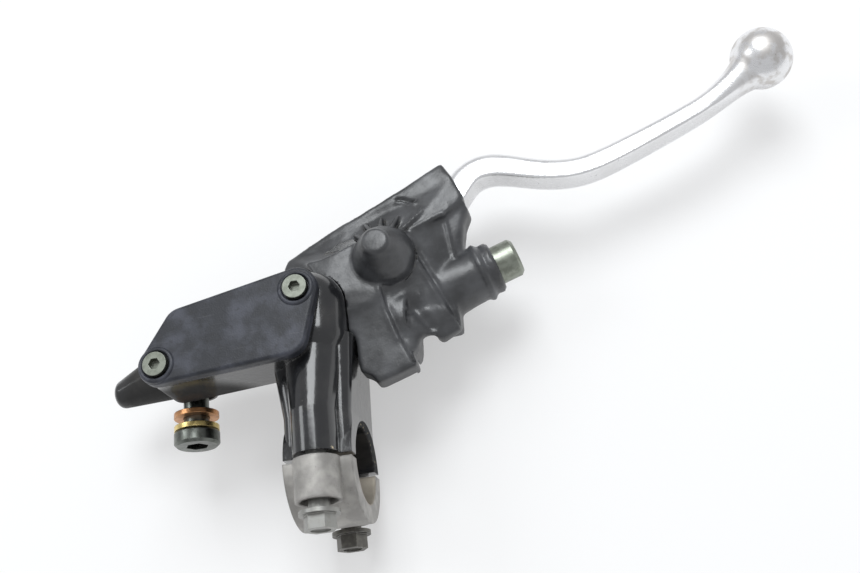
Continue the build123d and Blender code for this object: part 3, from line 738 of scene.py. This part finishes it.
@dataclass
class RubberCover:
    """Moulded cover over the fork, the lever's root and the reach adjuster."""

    cylinder_y: float = 41.5
    wall: float = 1.7
    voxel: float = 0.62
    bump_clear: float = 9.5
    bases: dict = field(default_factory=lambda: {
        "tube": -10.0, "web": -9.6, "web_end": -4.0, "plateau": -10.0, "underside": -17.6,
        "skirt": -0.4, "funnel": -8.5, "toe": 1.8, "heel": -2.5})
    tube: list = field(default_factory=lambda: [
        (-9.0, 61.2, 7.4), (-7.4, 64.6, 7.4), (5.4, 71.4, 7.5), (17.0, 76.2, 7.4),
        (29.4, 81.9, 7.2), (36.0, 85.2, 7.0), (42.6, 88.9, 6.4), (45.6, 82.6, 7.0),
        (48.4, 75.8, 6.6), (41.4, 70.2, 7.8), (35.8, 67.6, 8.6), (31.1, 65.6, 9.8),
        (24.0, 60.0, 12.2), (4.0, 57.0, 13.0)])
    web: list = field(default_factory=lambda: [
        (31.1, 65.6, 10.2), (41.4, 70.2, 5.4), (42.0, 64.0, 4.2), (42.6, 56.8, 3.6),
        (36.0, 52.0, 6.6), (28.0, 54.0, 10.6)])
    web_end: list = field(default_factory=lambda: [
        (41.4, 70.4, 5.6), (48.2, 74.2, 5.6), (49.1, 72.3, 4.4), (46.8, 68.0, 3.2),
        (46.2, 64.5, 2.6), (45.4, 61.0, 2.4), (44.4, 56.0, 2.4), (42.4, 56.8, 3.4)])
    plateau: list = field(default_factory=lambda: [
        (-0.5, 60.4, 12.6), (4.4, 60.6, 12.8), (9.5, 62.2, 12.9), (14.0, 63.9, 12.9),
        (24.0, 66.0, 11.8), (31.0, 65.0, 10.8), (32.7, 59.5, 10.8), (29.6, 54.1, 11.5),
        (25.6, 51.2, 12.0), (22.0, 48.0, 12.2), (18.5, 44.0, 11.8), (8.0, 42.0, 11.6),
        (4.0, 50.0, 13.0)])
    underside: list = field(default_factory=lambda: [
        (-0.5, 60.5, 3.0), (11.5, 66.5, 3.0), (21.5, 70.5, 3.0), (31.0, 71.0, 2.0),
        (38.5, 72.0, 1.0), (39.5, 61.0, 1.0), (35.5, 53.0, 2.0), (28.5, 46.0, 3.0),
        (13.5, 46.0, 3.0)])
    skirt: list = field(default_factory=lambda: [
        (7.0, 49.0, 12.0), (21.8, 48.0, 12.0), (22.8, 42.5, 10.4), (25.6, 33.2, 9.0),
        (27.9, 28.9, 8.4), (29.0, 24.7, 7.8), (17.0, 21.1, 7.8), (15.2, 23.9, 8.1),
        (12.3, 25.3, 8.3), (11.9, 28.6, 8.8), (12.0, 35.2, 9.6), (9.0, 38.5, 10.2)])
    funnel: list = field(default_factory=lambda: [
        (24.0, 51.0, 10.2), (30.0, 54.0, 9.2), (36.5, 52.0, 6.4), (42.0, 42.0, 2.8),
        (41.9, 36.8, 0.9), (37.5, 36.6, 2.0), (33.0, 38.6, 4.4), (27.0, 38.6, 7.6),
        (22.9, 42.5, 9.4), (22.0, 48.0, 10.4)])
    toe: list = field(default_factory=lambda: [
        (35.0, 34.2, 3.6), (34.2, 34.6, 4.2), (31.2, 34.4, 5.2), (29.6, 32.4, 5.9),
        (29.4, 30.4, 6.3), (27.6, 29.6, 6.8), (25.0, 34.0, 8.0), (23.5, 40.0, 9.0),
        (33.0, 42.0, 6.0)])
    heel: list = field(default_factory=lambda: [
        (41.9, 36.0, 0.6), (36.1, 33.0, 2.0), (34.6, 34.2, 3.8), (33.0, 42.0, 6.0),
        (41.5, 42.0, 2.8)])
    bump: list = field(default_factory=lambda: [
        (4.0, 0.0), (4.0, 9.3), (11.2, 9.3), (12.4, 9.1), (13.5, 8.8), (16.0, 7.6),
        (19.0, 5.9), (21.2, 4.6), (22.3, 4.1), (22.8, 3.4), (22.9, 0.0)])
    cylinder_sleeve: tuple = ((0, 0), (0, 12.7), (15, 12.7), (15, 0))
    adjuster_sleeve: tuple = ((-8, 0), (-8, 9.9), (8, 9.4), (26, 7.9), (26, 0))
    nose: tuple = ((22.6, 6.5), (22.9, 8.4), (23.6, 9.0), (24.4, 9.0), (25.0, 8.2), (25.3, 7.2),
                   (25.6, 7.1), (25.9, 7.6), (26.6, 7.9), (28.0, 7.7), (28.7, 7.0), (28.7, 6.2))
    bead: tuple = ((3.4, 7.0), (3.5, 10.0), (4.1, 10.35), (4.7, 9.9), (4.8, 7.0))
    ribs: tuple = (  # outer end, inner end, height at each
        ((14.3, 67.9), (17.5, 64.6), 10.4, 13.2), ((17.6, 71.2), (20.2, 66.5), 9.8, 13.2),
        ((23.0, 72.2), (22.9, 66.5), 9.6, 13.0), ((28.2, 71.8), (25.8, 65.8), 9.6, 12.8),
        ((35.8, 72.8), (27.5, 64.6), 8.9, 12.4))
    rib_half_width: float = 0.75
    rib_base: float = 5.0

    def _blocks(self) -> bpy.types.Object:
        """Rough out the cover from sloping blocks and turned tubes.

        Returns:
            The blocks as one overlapping object.
        """
        mesh = bmesh.new()
        for name, base in self.bases.items():
            Workshop.slab(mesh, getattr(self, name), base)
        Workshop.turned(mesh, self.cylinder_sleeve, (13.0, self.cylinder_y, MIDDLE_Z), (1, 0, 0))
        Workshop.turned(mesh, self.adjuster_sleeve, ROD_END, ROD_DIRECTION)
        return Workshop.finish(mesh, "rubber_cover")

    def _details(self) -> bpy.types.Object:
        """Make the bump over the pivot, the ribs round it, the nose and the bead.

        Returns:
            The details as one object.
        """
        mesh = bmesh.new()
        Workshop.turned(mesh, self.bump, (*PIVOT, 0.0), UP)
        for start, end, high, low in self.ribs:
            along = (Vector(end) - Vector(start)).normalized()
            side = Vector((-along.y, along.x)) * self.rib_half_width
            corners = [(*(Vector(start) + side * 0.6), high), (*(Vector(end) + side), low),
                       (*(Vector(end) - side), low), (*(Vector(start) - side * 0.6), high)]
            Workshop.slab(mesh, corners, self.rib_base)
        Workshop.turned(mesh, self.nose, ROD_END, ROD_DIRECTION)
        Workshop.turned(mesh, self.bead, ROD_END, ROD_DIRECTION)
        return Workshop.finish(mesh, "cover_details")

    @staticmethod
    def _grooves() -> list:
        """Lines that are pressed into the top, and the folds of the old rubber."""
        return [
            Groove([(29.6, 54.6), (25.7, 51.5), (22.0, 48.5), (22.8, 42.5), (25.6, 33.1),
                    (28.4, 26.5)], 0.75, 0.75),
            Groove([(28.4, 54.9), (24.8, 52.3), (20.8, 48.9), (21.6, 42.4), (24.4, 32.9)],
                   0.7, -0.35),
            Groove([(27.9, 78.4), (29.9, 77.9), (31.5, 77.0), (33.6, 76.5)], 0.38, 1.1),
            Groove([(27.6, 77.5), (29.7, 77.0), (31.4, 76.1), (33.4, 75.6)], 0.45, -0.4),
            Groove([(29.8, 42.4), (32.3, 38.8), (33.6, 36.4)], 1.8, 1.25),
            Groove([(28.3, 41.0), (27.8, 37.0)], 0.8, 0.8),
            Groove([(31.6, 66.6), (36.1, 68.4), (41.6, 71.0), (48.0, 74.6)], 0.7, -0.35),
            Groove([(41.5, 70.6), (42.1, 64.0), (42.7, 57.2)], 0.6, -0.5),
            Groove([(31.3, 58.8), (33.5, 52.8), (37.2, 44.2), (40.9, 36.4)], 0.75, -0.5),
            Groove([(32.7, 59.2), (35.2, 53.0), (38.9, 44.6), (42.4, 37.0)], 0.7, 0.75),
            Groove([(-1.0, 60.4), (4.4, 60.4), (9.5, 62.1), (14.0, 63.8)], 0.7, -0.12),
            Groove([(12.8, 67.6), (16.0, 70.6), (22.0, 74.0), (30.0, 76.0)], 2.0, 0.35),
        ]

    @staticmethod
    def _gap(point: Vector, start: Vector, end: Vector) -> float:
        """Distance in plan from a point to a straight run.

        Args:
            point: the point.
            start: start of the run.
            end: end of the run.

        Returns:
            The distance.
        """
        run = end - start
        share = max(0.0, min(1.0, (point - start).dot(run) / run.length_squared))
        return (point - start - run * share).length

    def _sculpt(self, piece: bpy.types.Object) -> None:
        """Press the grooves in and give the skin a slight waviness.

        Args:
            piece: the cover, as one closed skin.
        """
        data = piece.data
        normals = [Vector(v.normal) for v in data.vertices]
        grooves = [(g, [Vector(p) for p in g.line]) for g in self._grooves()]
        pivot = Vector(PIVOT)
        for vert, normal in zip(data.vertices, normals):
            point = vert.co / MM
            push = noise.noise(point * 0.16) * 0.16 + noise.noise(point * 0.5) * 0.04
            flat = Vector(point[:2])
            if normal.z > 0.25 and (flat - pivot).length > self.bump_clear:
                for groove, line in grooves:
                    gap = min(self._gap(flat, a, b) for a, b in zip(line, line[1:]))
                    if gap < groove.width * 3:
                        push -= groove.depth * math.exp(-(gap / groove.width) ** 2)
            vert.co += normal * (push * MM)
        data.update()

    def _cutters(self) -> list:
        """Make room for the casting, the lever, the adjuster and the pivot bolt.

        Returns:
            Closed objects to cut the cover with.
        """
        cutters = []
        for name, outline, base, top in (
                ("lever_door", [(29.5, 58.0), (49.0, 76.6), (62.0, 84.0), (52.0, 98.0),
                                (41.6, 86.4), (27.5, 69.0)], -8.6, 2.5),
                ("skirt_room", [(0.0, 8.0), (28.0, 8.0), (27.6, 29.0), (26.0, 33.5),
                                (24.0, 37.0), (0.0, 37.0)], -30.0, 1.8)):
            mesh = bmesh.new()
            Workshop.slab(mesh, [(*corner, top) for corner in outline], base)
            cutters.append(Workshop.finish(mesh, name, False))
        for name, profile, origin, axis in (
                ("cylinder_room", [(0, 0), (0, 10.7), (27, 10.7), (27, 0)],
                 (0.0, self.cylinder_y, MIDDLE_Z), (1, 0, 0)),
                ("adjuster_room", [(-6, 0), (-6, 7.0), (40, 6.1), (40, 0)],
                 ROD_END, ROD_DIRECTION),
                ("bolt_room", [(-30, 0), (-30, 7.4), (-14.5, 7.4), (-14.5, 0)],
                 (*PIVOT, 0.0), UP)):
            mesh = bmesh.new()
            Workshop.turned(mesh, profile, origin, axis, 64)
            cutters.append(Workshop.finish(mesh, name, False))
        for name, circles, base, top in (
                ("shoulder_room", [(0.0, 45.5, 10.85), (1.6, 37.0, 8.85)], -40.0, 40.0),
                ("ear_room", [(*PIVOT, 9.55), (3.5, 55.0, 7.1), (11.5, 60.0, 6.6)],
                 -15.1, 9.05)):
            cutters.append(self._hull_block(name, circles, base, top))
        return cutters

    @staticmethod
    def _hull_block(name: str, circles: list, base: float, top: float) -> bpy.types.Object:
        """Upright block round several circles.

        Args:
            name: name of the block.
            circles: (x, y, radius) of each circle.
            base: height of its underside.
            top: height of its top.

        Returns:
            The block.
        """
        mesh = bmesh.new()
        for x, y, radius in circles:
            for height in (base, top):
                bmesh.ops.create_circle(mesh, cap_ends=False, segments=56, radius=radius,
                                        matrix=Matrix.Translation((x, y, height)))
        hull = bmesh.ops.convex_hull(mesh, input=mesh.verts)
        spare = [g for g in hull["geom_interior"] if isinstance(g, bmesh.types.BMVert)]
        bmesh.ops.delete(mesh, geom=spare, context="VERTS")
        loose = [e for e in mesh.edges if not e.link_faces]
        bmesh.ops.delete(mesh, geom=loose, context="EDGES")
        return Workshop.finish(mesh, name, False)

    def build(self) -> bpy.types.Object:
        """Model the cover.

        Returns:
            The cover, between the casting and the lever.
        """
        cover = self._blocks()
        Workshop.remesh(cover, self.voxel, 8)
        Workshop.join(cover, self._details())
        Workshop.remesh(cover, self.voxel * 0.85, 2, 0.4)
        self._sculpt(cover)
        inner = cover.modifiers.new("wall", "SOLIDIFY")
        inner.thickness = self.wall * MM
        inner.offset = -1.0
        inner.use_rim = False
        Workshop.settle(cover)
        Workshop.cut(cover, self._cutters())
        cover.data.polygons.foreach_set("use_smooth", [True] * len(cover.data.polygons))
        Workshop.dress(cover, DustyRubber().material())
        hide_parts("lever_boot")
        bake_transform(cover)
        return cover


# ---------------------------------------------------------------- lever
@dataclass
class ForgedLever:
    """Forged lever: hub and lug inside the cover, a flat-topped blade and a round end."""

    stations: list = field(default_factory=lambda: [
        (30.0, 63.6, 6.6, 4.6), (35.5, 69.2, 5.5, 4.8), (41.0, 75.9, 4.9, 5.0),
        (45.6, 82.0, 4.8, 5.2), (48.9, 85.9, 4.8, 5.3), (53.0, 88.0, 4.8, 5.35),
        (58.5, 88.1, 4.5, 5.35), (65.3, 85.7, 4.1, 5.3), (72.0, 83.2, 3.95, 5.25),
        (80.0, 81.6, 3.85, 5.2), (87.6, 82.0, 3.8, 5.15), (99.7, 86.0, 3.6, 5.0),
        (112.7, 90.8, 3.4, 4.85), (120.5, 93.9, 3.3, 4.75), (125.5, 96.2, 3.4, 4.75),
        (130.0, 98.9, 3.9, 4.7), (133.5, 101.2, 4.4, 5.0), (136.8, 103.5, 5.3, 5.6),
        (140.0, 105.7, 6.9, 6.9), (142.6, 107.5, 8.0, 8.0)])
    section: tuple = (
        (0.0, 1.0), (0.42, 0.98), (0.78, 0.80), (1.0, 0.30), (1.0, -0.45), (0.86, -0.88),
        (0.45, -1.0), (-0.45, -1.0), (-0.86, -0.88), (-1.0, -0.45), (-1.0, 0.35),
        (-0.98, 0.96), (-0.55, 1.0))
    sharp_corner: int = 11
    sharpness: float = 0.85
    first_round: int = 13
    rounding_steps: int = 4
    ball_radius: float = 9.5
    voxel: float = 0.45
    hub: tuple = ((-9.4, 0), (-9.4, 8.6), (-9.0, 9.0), (3.0, 9.0), (3.4, 8.6), (3.4, 0))
    lug: tuple = ((0.5, 0), (0.5, 6.0), (0.9, 6.2), (11.6, 6.2), (12.0, 5.8), (12.0, 0))
    root: tuple = ((19.0, 55.0), (29.0, 47.0), (36.2, 50.0), (34.2, 57.5), (41.0, 73.0),
                   (29.0, 66.0))
    root_base: float = -7.3
    root_top: float = 1.3

    def _ring(self, index: int) -> list:
        """Place the section's corners at one station.

        Args:
            index: number of the station.

        Returns:
            The corners' places, in order.
        """
        x, y, half_width, half_height = self.stations[index]
        spots = [Vector(s[:2]) for s in self.stations] + [Vector(BALL_CENTRE[:2])]
        heading = (spots[index + 1] - spots[max(index - 1, 0)]).normalized()
        across = Vector((-heading.y, heading.x, 0.0))
        middle = Vector((x, y, MIDDLE_Z))
        corners = [Vector(corner).lerp(Vector(corner).normalized(), self._roundness(index))
                   for corner in self.section]
        return [middle + across * (corner.x * half_width) + Vector((0, 0, corner.y * half_height))
                for corner in corners]

    def _roundness(self, index: int) -> float:
        """How round the section is at one station, from 0 to 1 beside the ball."""
        return max(0.0, min(1.0, (index - self.first_round) / self.rounding_steps))

    def _blade(self) -> bpy.types.Object:
        """Extrude the section from station to station, with one sharp edge along the top.

        Returns:
            The blade.
        """
        mesh = bmesh.new()
        crease = mesh.edges.layers.float.new("crease_edge")
        ring = [mesh.verts.new(place) for place in self._ring(0)]
        mesh.faces.new(ring)
        for index in range(1, len(self.stations)):
            edges = [mesh.edges.get(pair) for pair in zip(ring, ring[1:] + ring[:1])]
            raised = bmesh.ops.extrude_edge_only(mesh, edges=edges)["geom"]
            fresh = {g for g in raised if isinstance(g, bmesh.types.BMVert)}
            ring = [next(e.other_vert(old) for e in old.link_edges if e.other_vert(old) in fresh)
                    for old in ring]
            for vert, place in zip(ring, self._ring(index)):
                vert.co = place
            corner = ring[self.sharp_corner]
            for edge in corner.link_edges:
                if edge.other_vert(corner) not in fresh:
                    edge[crease] = self.sharpness * (1 - self._roundness(index))
        mesh.faces.new(ring)
        blade = Workshop.finish(mesh, "lever_forging")
        smooth = blade.modifiers.new("smooth", "SUBSURF")
        smooth.levels = smooth.render_levels = 3
        Workshop.settle(blade)
        return blade

    def _root(self) -> bpy.types.Object:
        """Make the hub, the lug and the web between them, hidden in the cover.

        Returns:
            The root.
        """
        mesh = bmesh.new()
        Workshop.turned(mesh, self.hub, (*PIVOT, 0.0), UP)
        Workshop.turned(mesh, self.lug, ROD_END, ROD_DIRECTION)
        Workshop.slab(mesh, [(*corner, self.root_top) for corner in self.root], self.root_base)
        return Workshop.finish(mesh, "lever_root")

    def build(self) -> bpy.types.Object:
        """Model the lever.

        Returns:
            The lever, riding its own body.
        """
        lever = self._blade()
        ball = bmesh.new()
        bmesh.ops.create_icosphere(ball, subdivisions=5, radius=self.ball_radius,
                                   matrix=Matrix.Translation(BALL_CENTRE))
        Workshop.join(lever, Workshop.finish(ball, "lever_end"))
        Workshop.join(lever, self._root())
        Workshop.remesh(lever, self.voxel, 3, 0.45)
        Workshop.dress(lever, ForgedLeverAlloy().material())
        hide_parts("lever")
        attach(lever, Body.LEVER.value)
        return lever


# ---------------------------------------------------------------- cap details
@dataclass(frozen=True)
class CapRims:
    """Raised rims that the cap's two screws sit in."""

    screws: tuple = ((-0.2, 46.7), (-41.8, 30.7))
    profile: tuple = ((25.2, 4.05), (26.3, 4.05), (26.55, 4.3), (26.55, 4.7), (26.2, 5.25),
                      (25.2, 5.5))

    def build(self, material: bpy.types.Material) -> bpy.types.Object:
        """Model the rims.

        Args:
            material: finish of the cap.

        Returns:
            Both rims as one piece.
        """
        mesh = bmesh.new()
        for x, y in self.screws:
            Workshop.turned(mesh, self.profile, (x, y, 0.0), UP, 64)
        rims = Workshop.finish(mesh, "cap_rims")
        Workshop.dress(rims, material)
        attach(rims, Body.CASTING.value)
        return rims


# ---------------------------------------------------------------- finishes of the kept nodes
def kept_finishes() -> dict:
    """Finish of each CAD node that stays visible, by its name.

    Returns:
        Materials by node name.
    """
    paint = GlossBlackPaint().material()
    alloy = CastAlloy().material()
    olive = Plating("olive_zinc", (0.29, 0.31, 0.265), (0.16, 0.17, 0.14), (0.55, 0.56, 0.51),
                    rough=0.32).material()
    steel = Plating("dark_steel", (0.15, 0.15, 0.14), (0.06, 0.06, 0.055), (0.48, 0.47, 0.45),
                    rough=0.36).material()
    screws = Plating("screw_zinc", (0.23, 0.245, 0.21), (0.14, 0.15, 0.125), (0.55, 0.56, 0.52),
                     rough=0.42).material()
    spring = Plating("spring_steel", (0.45, 0.45, 0.46), (0.28, 0.27, 0.26), (0.7, 0.7, 0.7),
                     rough=0.28).material()
    piston = Plating("anodised_piston", (0.58, 0.58, 0.55), (0.45, 0.45, 0.42),
                     (0.75, 0.75, 0.74), rough=0.3).material()
    bronze = Plating("bronze_bush", (0.50, 0.36, 0.18), (0.32, 0.22, 0.10), (0.72, 0.56, 0.3),
                     rough=0.4).material()
    seal = DustyRubber("seal_rubber", (0.018, 0.018, 0.019), (0.035, 0.035, 0.036),
                       (0.07, 0.068, 0.06), 0.3).material()
    moulded = SatinCapPaint("moulded_plate", (0.05, 0.05, 0.052), (0.08, 0.08, 0.082),
                            0.5).material()
    banjo = Plating("banjo_steel", (0.16, 0.17, 0.155), (0.07, 0.076, 0.065),
                    (0.42, 0.43, 0.4), rough=0.28).material()
    copper = Plating("copper_ring", (0.66, 0.34, 0.16), (0.28, 0.13, 0.06), (0.85, 0.55, 0.3),
                     rough=0.3).material()
    brass = Plating("brass_ring", (0.76, 0.60, 0.25), (0.44, 0.34, 0.13), (0.9, 0.78, 0.42),
                    rough=0.26).material()
    return {
        "master_body": paint, "clamp_cap": alloy, "clamp_bolts": ClampBoltPlating().material(),
        "reservoir_cap": SatinCapPaint().material(), "cap_screws": screws, "diaphragm": seal,
        "diaphragm_plate": moulded, "port_shield": moulded, "piston": piston,
        "primary_cup": seal, "secondary_cup": seal, "piston_spring": spring,
        "stop_washer": spring, "circlip": spring, "rod_boot": seal, "push_rod": steel,
        "pivot_bush": bronze, "pivot_bolt": steel, "pivot_washer": spring, "pivot_nut": olive,
        "adjuster_bolt": olive, "adjuster_locknut": steel, "banjo_bolt": banjo,
        "copper_washer": copper, "brass_washer": brass,
    }


# ---------------------------------------------------------------- room, light and camera
@dataclass
class Studio:
    """Pale floor, soft light and the camera."""

    camera_place: tuple = (77.9, -78.1, 299.2)
    right: tuple = (0.9763, -0.1056, -0.1888)
    up: tuple = (0.1703, 0.9134, 0.3697)
    back: tuple = (0.1334, -0.3931, 0.9098)
    lens: float = 45.92
    film_width: float = 36.0
    nearest: float = 0.01
    floor_gap: float = 3.0
    floor_size: float = 2000.0
    floor_middle: tuple = (60, 40)
    floor_grey: tuple = (0.93, 0.93, 0.93)
    white_share: float = 0.42
    sky_colour: tuple = (0.97, 0.98, 1, 1)
    sky_strength: float = 0.60
    lamp_colour: tuple = (0.95, 0.98, 1.0)
    lamps: tuple = (  # name, place, size in metres, watts
        ("panel", (110, 750, 1240), 0.75, 12.0), ("side", (-700, 300, 700), 0.3, 1.2))
    lamp_aim: tuple = (20, 45, 0)

    def build(self, low_z: float) -> None:
        """Set up the room.

        Args:
            low_z: height of the object's lowest point, in metres.
        """
        scene = bpy.context.scene
        scene.view_settings.view_transform = "Standard"
        data = bpy.data.cameras.new("camera")
        data.sensor_width = self.film_width
        data.lens = self.lens
        data.clip_start = self.nearest
        camera = bpy.data.objects.new("camera", data)
        scene.collection.objects.link(camera)
        turn = Matrix((self.right, self.up, self.back)).transposed().to_4x4()
        camera.matrix_world = Matrix.Translation(Vector(self.camera_place) * MM) @ turn
        scene.camera = camera
        self._floor(low_z - self.floor_gap * MM)
        self._world(scene)
        self._lamps()

    def _shown_white(self, board: Board, plain: "Wire") -> "Wire":
        """Mix a shader with plain white where the camera, a gloss or a glass ray sees it.

        Args:
            board: node tree of the floor.
            plain: the shader that every other ray meets.

        Returns:
            The mixed shader.
        """
        path = board.node("LightPath")
        seen = Wire(board, path.outputs["Is Camera Ray"])
        seen = seen.highest(Wire(board, path.outputs["Is Glossy Ray"]))
        seen = seen.highest(Wire(board, path.outputs["Is Transmission Ray"]))
        glow = board.wire("Emission", None, {"Color": (1.0, 1.0, 1.0), "Strength": 1.0})
        return board.wire("MixShader", None, {0: seen * self.white_share, 1: plain, 2: glow})

    def _floor(self, height: float) -> None:
        """Lay a wide pale floor that keeps the object's shadow and is open from below.

        Args:
            height: height of the floor, in metres.
        """
        mesh = bmesh.new()
        bmesh.ops.create_grid(mesh, x_segments=1, y_segments=1, size=self.floor_size,
                              matrix=Matrix.Translation((*self.floor_middle, height / MM)))
        floor = Workshop.finish(mesh, "floor", False)
        board = Board("pale_floor")
        plain = board.wire("BsdfDiffuse", None, {"Color": self.floor_grey})
        shown = self._shown_white(board, plain)
        under = board.wire("NewGeometry", output="Backfacing")
        clear = board.wire("BsdfTransparent")
        open_below = board.wire("MixShader", None, {0: under, 1: shown, 2: clear})
        board.node("OutputMaterial", None, {"Surface": open_below})
        floor.data.materials.append(board.material)
        floor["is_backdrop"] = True

    def _world(self, scene: bpy.types.Scene) -> None:
        """Give a scene even, pale surroundings.

        Args:
            scene: the scene.
        """
        world = bpy.data.worlds.new("surroundings")
        world.use_nodes = True
        sky = world.node_tree.nodes["Background"].inputs
        sky["Color"].default_value = self.sky_colour
        sky["Strength"].default_value = self.sky_strength
        scene.world = world

    def _lamps(self) -> None:
        """Hang a wide panel overhead, behind the object, and a small lamp on its left."""
        for name, place, size, power in self.lamps:
            data = bpy.data.lights.new(name, "AREA")
            data.size = size
            data.energy = power
            data.color = self.lamp_colour
            lamp = bpy.data.objects.new(name, data)
            bpy.context.scene.collection.objects.link(lamp)
            spot = Vector(place) * MM
            aim = Vector(self.lamp_aim) * MM - spot
            lamp.matrix_world = (Matrix.Translation(spot)
                                 @ aim.to_track_quat("-Z", "Y").to_matrix().to_4x4())


def main() -> None:
    """Build the visible model in order."""
    logging.basicConfig(level=logging.INFO, format="%(message)s")
    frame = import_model()
    cad_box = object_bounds()
    Studio().build(cad_box[0][2])
    finishes = kept_finishes()
    for name, material in finishes.items():
        Workshop.dress(frame["nodes"][name], material)
        LOG.info("finished node %s", name)
    rims = CapRims().build(finishes["reservoir_cap"])
    for piece in (RubberCover().build(), ForgedLever().build(), rims):
        LOG.info("modelled %s: %d faces", piece.name, len(piece.data.polygons))


if __name__ == "__main__":
    main()
